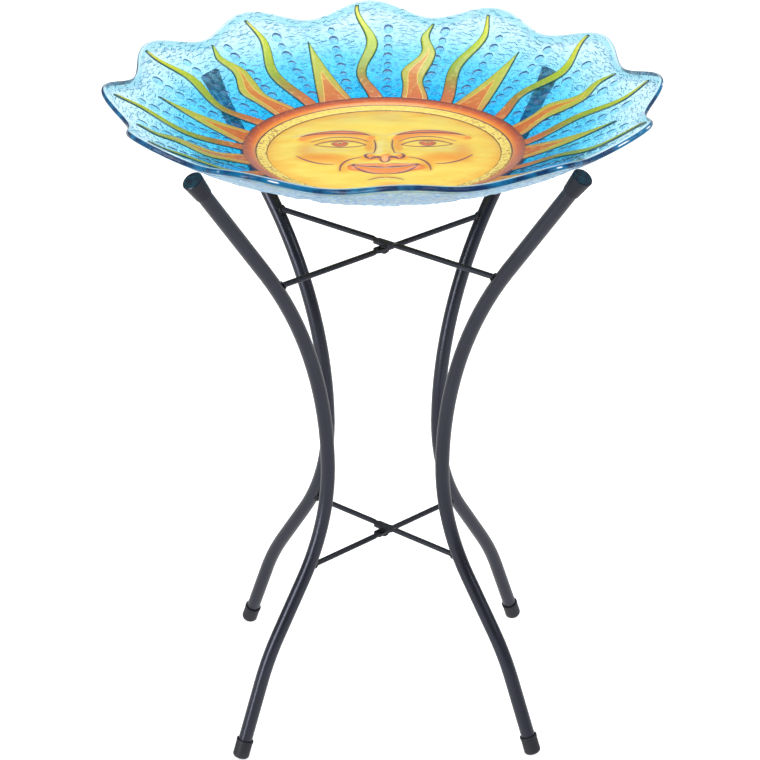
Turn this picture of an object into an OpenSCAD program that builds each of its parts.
// Folding bird bath: a scalloped glass bowl resting on two crossed tube frames
// that turn about a pair of rivets on the middle axis.
// X is to the right, Y is to the rear, Z is up. The floor is z = 0.

/* [Bowl] */
// Diameter across the scallop peaks
bowl_d = 464; // [380:1:520]
// Depth of each scallop, from peak to valley, measured along the radius
scallop_depth = 15; // [4:0.5:24]
// Number of scallops round the rim
scallops = 12; // [8:1:16]
// Turn of the scallops about the middle axis, in degrees
scallop_turn = 2; // [-15:0.5:15]
// Radius of the dish's inner sphere
dish_r = 386; // [320:0.5:520]
// Thickness of the glass
glass_t = 5.5; // [3:0.1:8]
// Height of the flat middle above the bottom of the sphere
flat_rise = 13.5; // [0:0.5:18]
// Radius of the ridge round the sun's face
ring_r = 118; // [80:1:140]

/* [Stand] */
// Outside diameter of the leg tube
tube_d = 12.7; // [10:0.1:19]
// Wall of the leg tube
tube_wall = 1.2; // [0.8:0.1:2]
// Angle of each frame from the X axis, in degrees
frame_angle = 40.3; // [30:0.1:55]
// Radius and height of the upper end of each leg's middle line
top_r = 198; // [150:0.5:230]
// Height of the upper end of each leg's middle line
top_z = 566; // [450:0.5:700]
// Lean of the leg at its upper end, from upright
lean_top = 34.7; // [20:0.1:45]
// Length of the straight upper part
len_top = 119; // [60:1:180]
// Radius of the bend above the waist
bend_upper = 361; // [200:1:500]
// Radius of the bend below the waist
bend_lower = 192.4; // [120:0.1:300]
// Greatest lean below the waist, from upright
lean_mid = 32.9; // [20:0.1:45]
// Length of the straight part between the lower bends
len_mid = 54.8; // [20:0.1:120]
// Radius of the bend that turns the leg back towards upright
bend_foot = 224.8; // [120:0.1:400]
// Lean of the leg at the floor, from upright
lean_foot = 21; // [5:0.1:35]

/* [Caps and feet] */
// Outside diameter of the sleeve on the upper tube end, where the bowl rests
cap_d = 17.4; // [14:0.1:22]
// Outside diameter of the sleeve at its mouth, lower on the tube
cap_mouth_d = 14.2; // [13.6:0.1:20]
// Length of the sleeve on the upper tube end
cap_len = 19; // [12:0.5:45]
// Outside diameter of the rubber foot
foot_d = 15; // [14.2:0.1:24]
// Length of the rubber foot
foot_len = 17.5; // [12:0.5:45]
// Depth of the flat worn on the foot where it stands
foot_flat = 0.9; // [0.3:0.1:1.5]

/* [Cross rods and rivets] */
// Diameter of the cross rods
rod_d = 5; // [4:0.1:8]
// Height of frame A's upper rod
upper_rod_z = 458.8; // [380:0.1:520]
// Height of frame A's lower rod
lower_rod_z = 175.3; // [100:0.1:240]
// Height of one rod above the other where they cross
rod_pitch = 7; // [6:0.1:10]
// Length of the flattened middle
flat_len = 22; // [14:0.5:32]
// Width of the flattened middle
flat_w = 8.4; // [6:0.1:12]
// Thickness of the flattened middle
flat_t = 2.85; // [2:0.05:4]
// Diameter of the rivet's shank
rivet_d = 4.4; // [3:0.1:5]
// Diameter of the washers
washer_d = 8.6; // [7:0.1:11]
// Size of the weld bead's section
bead = 1.1; // [0.8:0.1:2.5]

/* [Show] */
// Sub-part to draw, or all of them

/* [Hidden] */
$fn = 96;
gap = 0.3;
tube_r = tube_d / 2;
cap_r = cap_d / 2;
cap_mouth_r = cap_mouth_d / 2;
foot_r = foot_d / 2;
rod_r = rod_d / 2;
run = 0.05;
lap = 0.8;
hair = 0.03;

// Leg line, in the plane of one frame: r is along X, measured from the middle axis.
p1_r = top_r - len_top * sin(lean_top);
p1_z = top_z - len_top * cos(lean_top);
waist_r = p1_r - bend_upper * (1 - cos(lean_top));
waist_z = p1_z - bend_upper * sin(lean_top);
p3_r = waist_r + bend_lower * (1 - cos(lean_mid));
p3_z = waist_z - bend_lower * sin(lean_mid);
p4_r = p3_r + len_mid * sin(lean_mid);
p4_z = p3_z - len_mid * cos(lean_mid);
c5_r = p4_r - bend_foot * cos(lean_mid);
c5_z = p4_z - bend_foot * sin(lean_mid);
p5_r = c5_r + bend_foot * cos(lean_foot);
p5_z = c5_z + bend_foot * sin(lean_foot);

// Foot: rounded lower edge, then a small flat at z = 0.
foot_round = 3;
foot_end_z = foot_round - foot_round * cos(lean_foot) + (foot_r - foot_round) * sin(lean_foot) - foot_flat;
foot_end_r = p5_r + (p5_z - foot_end_z) * tan(lean_foot);
foot_floor = 3;
len_foot = (p5_z - foot_end_z) / cos(lean_foot) - foot_floor;

// Cap: the lower corner of its chamfer, on the inner side, is where the bowl rests.
cap_floor = 2;
cap_cham = 0.8;
cap_edge_r = top_r - cap_r * cos(lean_top) + (cap_floor - cap_cham) * sin(lean_top);
cap_edge_z = top_z + cap_r * sin(lean_top) + (cap_floor - cap_cham) * cos(lean_top);

// Bowl: inner and outer spheres share a centre on the middle axis.
bowl_r = bowl_d / 2;
dish_out = dish_r + glass_t;
seat_r = dish_out + gap;
dish_z = cap_edge_z + sqrt(seat_r * seat_r - cap_edge_r * cap_edge_r);
floor_z = dish_z - dish_r + flat_rise;
valley_r = bowl_r - scallop_depth;
steps = scallops * 14;

// Rivet heights, counted from frame A's rod.
flat_low = rod_r + 0.05;
spacer_t = rod_pitch - 2 * flat_low - gap;
tail_t = 1;

// Solid bar of radius rad along the whole leg line, longer by past at both ends.
// The straight parts run a little way over the bends, which are a hair thinner.
module leg_bar(rad, past) {
  translate([p1_r, 0, p1_z])
    rotate([0, lean_top, 0])
      translate([0, 0, -lap])
        cylinder(r = rad, h = len_top + lap + past);
  translate([waist_r + bend_upper, 0, waist_z])
    rotate([90, 0, 180])
      rotate([0, 0, 0.08])
        rotate_extrude(angle = lean_top - 0.08)
          translate([bend_upper, 0])
            circle(r = rad - hair);
  translate([waist_r, 0, waist_z - 1.5])
    cylinder(r = rad, h = 3);
  translate([waist_r + bend_lower, 0, waist_z])
    rotate([-90, 0, 180])
      rotate([0, 0, 0.15])
        rotate_extrude(angle = lean_mid - 0.15)
          translate([bend_lower, 0])
            circle(r = rad - hair);
  translate([p4_r, 0, p4_z])
    rotate([0, -lean_mid, 0])
      translate([0, 0, -lap])
        cylinder(r = rad, h = len_mid + 2 * lap);
  translate([c5_r, 0, c5_z])
    rotate([90, 0, 0])
      rotate([0, 0, lean_foot])
        rotate_extrude(angle = lean_mid - lean_foot)
          translate([bend_foot, 0])
            circle(r = rad - hair);
  translate([p5_r, 0, p5_z])
    rotate([0, 180 - lean_foot, 0])
      translate([0, 0, -lap])
        cylinder(r = rad, h = len_foot + lap + past);
}

module leg() {
  difference() {
    leg_bar(tube_r, 0);
    leg_bar(tube_r - tube_wall, 1);
  }
}

module cap() {
  translate([top_r, 0, top_z])
    rotate([0, lean_top, 0])
      difference() {
        rotate_extrude()
          polygon([
            [0, -cap_len + cap_floor],
            [cap_mouth_r - 0.3, -cap_len + cap_floor],
            [cap_mouth_r, -cap_len + cap_floor + 0.6],
            [cap_r, cap_floor - cap_cham],
            [cap_r - cap_cham, cap_floor],
            [0, cap_floor]
          ]);
        translate([0, 0, -cap_len])
          cylinder(r = tube_r + run, h = cap_len + run);
      }
}

module foot() {
  difference() {
    translate([foot_end_r, 0, foot_end_z])
      rotate([0, -lean_foot, 0])
        difference() {
          rotate_extrude() {
            translate([0, foot_round])
              square([foot_r, foot_len - foot_round]);
            square([foot_r - foot_round, foot_len]);
            translate([foot_r - foot_round, foot_round])
              circle(r = foot_round);
            translate([foot_r - 1, foot_len - 2.2])
              square([1.3, 2.2]);
          }
          translate([0, 0, foot_floor - run])
            cylinder(r = tube_r + run, h = foot_len);
        }
    translate([foot_end_r - 40, -40, -20])
      cube([80, 80, 20]);
  }
}

// Height-dependent points on the leg line, for the rods that are welded to it.
function lean_at(z) = z > waist_z ? asin((z - waist_z) / bend_upper) : -asin((waist_z - z) / bend_lower);
function r_at(z) = z > waist_z
  ? waist_r + bend_upper * (1 - cos(lean_at(z)))
  : waist_r + bend_lower * (1 - cos(lean_at(z)));

// Short piece of straight bar along the leg where a rod meets it.
module leg_here(z, rad) {
  translate([r_at(z), 0, z])
    rotate([0, lean_at(z), 0])
      translate([0, 0, -20])
        cylinder(r = rad, h = 40);
}

// Cross rod along X; side is 1 when the flattened middle is level with its underside.
module cross_rod(z, side, hole_r) {
  difference() {
    union() {
      translate([-r_at(z), 0, z])
        rotate([0, 90, 0])
          cylinder(r = rod_r, h = 2 * r_at(z));
      translate([0, 0, side > 0 ? z - flat_low : z + flat_low - flat_t])
        linear_extrude(flat_t) {
          square([flat_len - flat_w, flat_w], center = true);
          translate([(flat_len - flat_w) / 2, 0])
            circle(r = flat_w / 2);
          translate([-(flat_len - flat_w) / 2, 0])
            circle(r = flat_w / 2);
        }
    }
    translate([0, 8, z])
      rotate([90, 0, 0])
        linear_extrude(16)
          polygon([
            [-flat_len / 2 - 4, side * (rod_r + 0.3)],
            [-flat_len / 2 + 1.5, side * (flat_t - flat_low)],
            [flat_len / 2 - 1.5, side * (flat_t - flat_low)],
            [flat_len / 2 + 4, side * (rod_r + 0.3)],
            [flat_len / 2 + 4, side * (rod_r + 4)],
            [-flat_len / 2 - 4, side * (rod_r + 4)]
          ]);
    translate([0, 0, z - 10])
      cylinder(r = hole_r, h = 20);
    leg_here(z, tube_r + 0.02);
    mirror([1, 0, 0])
      leg_here(z, tube_r + 0.02);
  }
}

// Ring of weld round one rod end, shaped to the rod and the tube.
module bead_at(z) {
  difference() {
    translate([r_at(z) - tube_r / cos(lean_at(z)) - 0.2, 0, z])
      rotate([0, 90 + lean_at(z) * 0.75, 0])
        rotate_extrude()
          translate([rod_r + 0.55, 0])
            circle(r = bead);
    translate([0, 0, z])
      rotate([0, 90, 0])
        cylinder(r = rod_r + 0.02, h = r_at(z) + 20);
    leg_here(z, tube_r + 0.02);
  }
}

module weld_beads(drop) {
  for (z = [upper_rod_z - drop, lower_rod_z - drop]) {
    bead_at(z);
    mirror([1, 0, 0])
      bead_at(z);
  }
}

// The peened end is on top and the domed head is below.
module rivet(z) {
  translate([0, 0, z]) {
    intersection() {
      translate([0, 0, flat_t - flat_low - 4.86])
        sphere(r = 5.66);
      translate([0, 0, flat_t - flat_low])
        cylinder(r = 5, h = 4);
    }
    translate([0, 0, -rod_pitch - rod_r - 1])
      cylinder(d = rivet_d, h = rod_pitch + rod_r + 1 + flat_t - flat_low + 0.5);
    intersection() {
      translate([0, 0, -rod_pitch + flat_low - flat_t - gap - tail_t + 2.13])
        sphere(r = 4.53);
      translate([0, 0, -rod_pitch + flat_low - flat_t - gap - tail_t - 5])
        cylinder(r = 5, h = 5);
    }
  }
}

module washer(z, thick, bore_r) {
  translate([0, 0, z])
    difference() {
      cylinder(d = washer_d, h = thick);
      translate([0, 0, -1])
        cylinder(r = bore_r, h = thick + 2);
    }
}

module scallop_outline() {
  polygon([
    for (i = [0 : steps - 1])
      let (t = i * 360 / steps)
        (bowl_r - scallop_depth / 2 + scallop_depth / 2 * cos(scallops * t)) * [cos(t), sin(t)]
  ]);
}

module bowl_section() {
  difference() {
    intersection() {
      translate([0, dish_z])
        circle(r = dish_out, $fn = 360);
      translate([0, floor_z - glass_t])
        square([bowl_r + 4, 100]);
    }
    intersection() {
      translate([0, dish_z])
        circle(r = dish_r, $fn = 360);
      translate([-1, floor_z])
        square([bowl_r + 8, 120]);
    }
  }
  translate([ring_r, dish_z - sqrt(dish_r * dish_r - ring_r * ring_r) - 0.7])
    circle(r = 1.6, $fn = 32);
}

module glass_bowl() {
  color([0.36, 0.72, 0.86, 0.6])
    intersection() {
      rotate_extrude($fn = 180)
        bowl_section();
      rotate([0, 0, 90 + scallop_turn])
        translate([0, 0, floor_z - glass_t - 5])
          linear_extrude(160)
            scallop_outline();
    }
}

module at_azimuth(a) {
  rotate([0, 0, a])
    children();
}

module leg_front_right() {
  color([0.20, 0.20, 0.23])
    at_azimuth(-frame_angle) leg();
}

module leg_rear_left() {
  color([0.20, 0.20, 0.23])
    at_azimuth(180 - frame_angle) leg();
}

module leg_front_left() {
  color([0.20, 0.20, 0.23])
    at_azimuth(180 + frame_angle) leg();
}

module leg_rear_right() {
  color([0.20, 0.20, 0.23])
    at_azimuth(frame_angle) leg();
}

module cap_front_right() {
  color([0.07, 0.09, 0.10])
    at_azimuth(-frame_angle) cap();
}

module cap_rear_left() {
  color([0.07, 0.09, 0.10])
    at_azimuth(180 - frame_angle) cap();
}

module cap_front_left() {
  color([0.07, 0.09, 0.10])
    at_azimuth(180 + frame_angle) cap();
}

module cap_rear_right() {
  color([0.07, 0.09, 0.10])
    at_azimuth(frame_angle) cap();
}

module foot_front_right() {
  color([0.08, 0.08, 0.09])
    at_azimuth(-frame_angle) foot();
}

module foot_rear_left() {
  color([0.08, 0.08, 0.09])
    at_azimuth(180 - frame_angle) foot();
}

module foot_front_left() {
  color([0.08, 0.08, 0.09])
    at_azimuth(180 + frame_angle) foot();
}

module foot_rear_right() {
  color([0.08, 0.08, 0.09])
    at_azimuth(frame_angle) foot();
}

module upper_rod_a() {
  color([0.10, 0.11, 0.12])
    at_azimuth(-frame_angle) cross_rod(upper_rod_z, 1, rivet_d / 2 + 0.02);
}

module lower_rod_a() {
  color([0.10, 0.11, 0.12])
    at_azimuth(-frame_angle) cross_rod(lower_rod_z, 1, rivet_d / 2 + 0.02);
}

module upper_rod_b() {
  color([0.10, 0.11, 0.12])
    at_azimuth(frame_angle) cross_rod(upper_rod_z - rod_pitch, -1, rivet_d / 2 + run);
}

module lower_rod_b() {
  color([0.10, 0.11, 0.12])
    at_azimuth(frame_angle) cross_rod(lower_rod_z - rod_pitch, -1, rivet_d / 2 + run);
}

module upper_rivet() {
  color([0.14, 0.14, 0.15]) rivet(upper_rod_z);
}

module lower_rivet() {
  color([0.14, 0.14, 0.15]) rivet(lower_rod_z);
}

module upper_spacer_washer() {
  color([0.05, 0.05, 0.06])
    washer(upper_rod_z - flat_low - spacer_t, spacer_t - 0.02, rivet_d / 2 + 0.02);
}

module lower_spacer_washer() {
  color([0.05, 0.05, 0.06])
    washer(lower_rod_z - flat_low - spacer_t, spacer_t - 0.02, rivet_d / 2 + 0.02);
}

module upper_retaining_washer() {
  color([0.12, 0.12, 0.13])
    washer(upper_rod_z - rod_pitch + flat_low - flat_t - gap - tail_t + 0.02, tail_t - 0.02, rivet_d / 2 + 0.02);
}

module lower_retaining_washer() {
  color([0.12, 0.12, 0.13])
    washer(lower_rod_z - rod_pitch + flat_low - flat_t - gap - tail_t + 0.02, tail_t - 0.02, rivet_d / 2 + 0.02);
}

module weld_beads_a() {
  color([0.13, 0.13, 0.15])
    at_azimuth(-frame_angle) weld_beads(0);
}

module weld_beads_b() {
  color([0.13, 0.13, 0.15])
    at_azimuth(frame_angle) weld_beads(rod_pitch);
}

glass_bowl();
leg_front_right();
leg_rear_left();
leg_front_left();
leg_rear_right();
cap_front_right();
cap_rear_left();
cap_front_left();
cap_rear_right();
foot_front_right();
foot_rear_left();
foot_front_left();
foot_rear_right();
upper_rod_a();
lower_rod_a();
upper_rod_b();
lower_rod_b();
upper_rivet();
lower_rivet();
upper_spacer_washer();
lower_spacer_washer();
upper_retaining_washer();
lower_retaining_washer();
weld_beads_a();
weld_beads_b();
